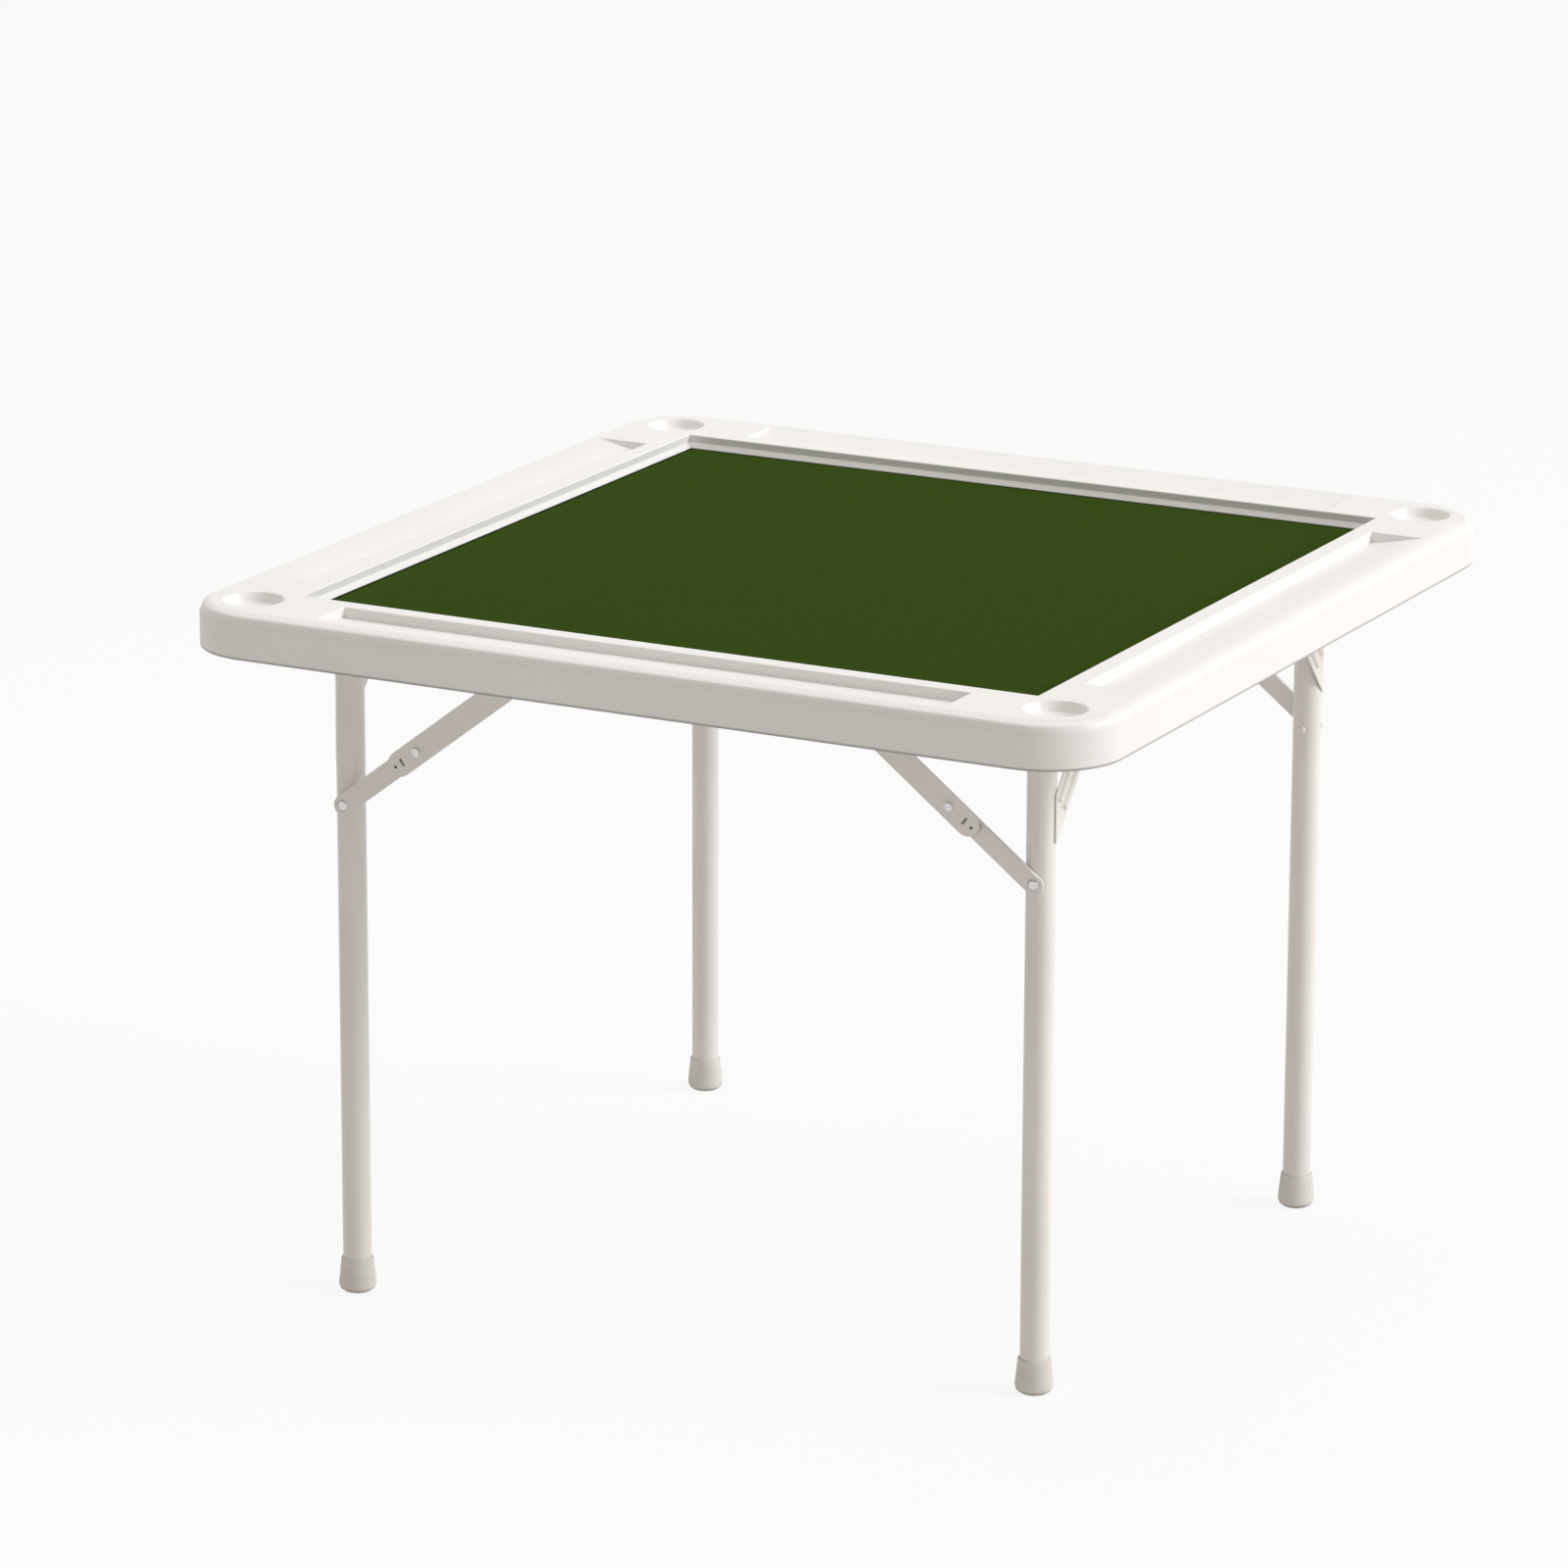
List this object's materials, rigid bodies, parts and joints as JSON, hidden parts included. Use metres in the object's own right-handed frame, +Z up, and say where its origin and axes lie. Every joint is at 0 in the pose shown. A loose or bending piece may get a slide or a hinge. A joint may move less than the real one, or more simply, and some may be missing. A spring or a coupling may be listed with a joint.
{
  "type": "folding mahjong table",
  "caption": "Square moulded game table with a sunken felt field, rim trays and corner cup recesses, on hinged tube leg frames with folding stays that fold flat under the top.",
  "frame": {"origin": "on the floor under the middle of the top", "axes": "+Z up; +X towards the narrow leg frame; Y along the crossbars, -Y to the viewer"},
  "size_m": [0.96, 0.96, 0.702],
  "materials": {
    "white_plastic": "smooth moulded plastic with a soft sheen",
    "felt": "short-napped felt",
    "powder_coat": "warm white powder coat on steel",
    "foot_plastic": "moulded cap",
    "bright_steel": "bright zinc",
    "dark_plastic": "matt moulded"
  },
  "bodies": {
    "top": {"table_top": "white_plastic", "felt_mat": "felt", "underside_panel": "white_plastic", "centre_saddles": "dark_plastic", "end_sockets_left": "white_plastic", "stay_brackets_left": "powder_coat", "stay_pins_left": "bright_steel", "leg_clip_fl": "dark_plastic", "leg_clip_bl": "dark_plastic", "end_sockets_right": "white_plastic", "stay_brackets_right": "powder_coat", "stay_pins_right": "bright_steel", "leg_clip_fr": "dark_plastic", "leg_clip_br": "dark_plastic"},
    "left_frame": {"crossbar_left": "powder_coat", "feet_left": "foot_plastic", "gussets_left": "powder_coat", "leg_studs_left": "bright_steel", "leg_fl": "powder_coat", "leg_bl": "powder_coat"},
    "lower_link_fl": {"stay_lower_fl": "powder_coat"},
    "upper_link_fl": {"stay_upper_fl": "powder_coat"},
    "lower_link_bl": {"stay_lower_bl": "powder_coat"},
    "upper_link_bl": {"stay_upper_bl": "powder_coat"},
    "right_frame": {"crossbar_right": "powder_coat", "feet_right": "foot_plastic", "gussets_right": "powder_coat", "leg_studs_right": "bright_steel", "leg_fr": "powder_coat", "leg_br": "powder_coat"},
    "lower_link_fr": {"stay_lower_fr": "powder_coat"},
    "upper_link_fr": {"stay_upper_fr": "powder_coat"},
    "lower_link_br": {"stay_lower_br": "powder_coat"},
    "upper_link_br": {"stay_upper_br": "powder_coat"}
  },
  "joints": [
    {"name": "fold_left", "type": "hinge", "parent": "top", "child": "left_frame", "pos_m": [-0.354, 0, 0.6555], "axis": [0, -1, 0], "range_deg": [0, 90]},
    {"name": "upper_pivot_fl", "type": "hinge", "parent": "top", "child": "upper_link_fl", "pos_m": [-0.146, -0.36, 0.6555], "axis": [0, -1, 0], "range_deg": [-37.6, 0]},
    {"name": "lower_pivot_fl", "type": "hinge", "parent": "left_frame", "child": "lower_link_fl", "pos_m": [-0.354, -0.36, 0.4955], "axis": [0, -1, 0], "range_deg": [0, 52.5]},
    {"name": "upper_pivot_bl", "type": "hinge", "parent": "top", "child": "upper_link_bl", "pos_m": [-0.146, 0.36, 0.6555], "axis": [0, -1, 0], "range_deg": [-37.6, 0]},
    {"name": "lower_pivot_bl", "type": "hinge", "parent": "left_frame", "child": "lower_link_bl", "pos_m": [-0.354, 0.36, 0.4955], "axis": [0, -1, 0], "range_deg": [0, 52.5]},
    {"name": "fold_right", "type": "hinge", "parent": "top", "child": "right_frame", "pos_m": [0.354, 0, 0.661], "axis": [0, 1, 0], "range_deg": [0, 90]},
    {"name": "upper_pivot_fr", "type": "hinge", "parent": "top", "child": "upper_link_fr", "pos_m": [0.146, -0.306, 0.661], "axis": [0, 1, 0], "range_deg": [-37.6, 0]},
    {"name": "lower_pivot_fr", "type": "hinge", "parent": "right_frame", "child": "lower_link_fr", "pos_m": [0.354, -0.306, 0.501], "axis": [0, 1, 0], "range_deg": [0, 52.5]},
    {"name": "upper_pivot_br", "type": "hinge", "parent": "top", "child": "upper_link_br", "pos_m": [0.146, 0.306, 0.661], "axis": [0, 1, 0], "range_deg": [-37.6, 0]},
    {"name": "lower_pivot_br", "type": "hinge", "parent": "right_frame", "child": "lower_link_br", "pos_m": [0.354, 0.306, 0.501], "axis": [0, 1, 0], "range_deg": [0, 52.5]}
  ],
  "couplings": [
    {"joint": "upper_pivot_fl", "follows": "fold_left", "ratio": -0.41743},
    {"joint": "lower_pivot_fl", "follows": "fold_left", "ratio": 0.58257},
    {"joint": "upper_pivot_bl", "follows": "fold_left", "ratio": -0.41743},
    {"joint": "lower_pivot_bl", "follows": "fold_left", "ratio": 0.58257},
    {"joint": "upper_pivot_fr", "follows": "fold_right", "ratio": -0.41743},
    {"joint": "lower_pivot_fr", "follows": "fold_right", "ratio": 0.58257},
    {"joint": "upper_pivot_br", "follows": "fold_right", "ratio": -0.41743},
    {"joint": "lower_pivot_br", "follows": "fold_right", "ratio": 0.58257}
  ]
}
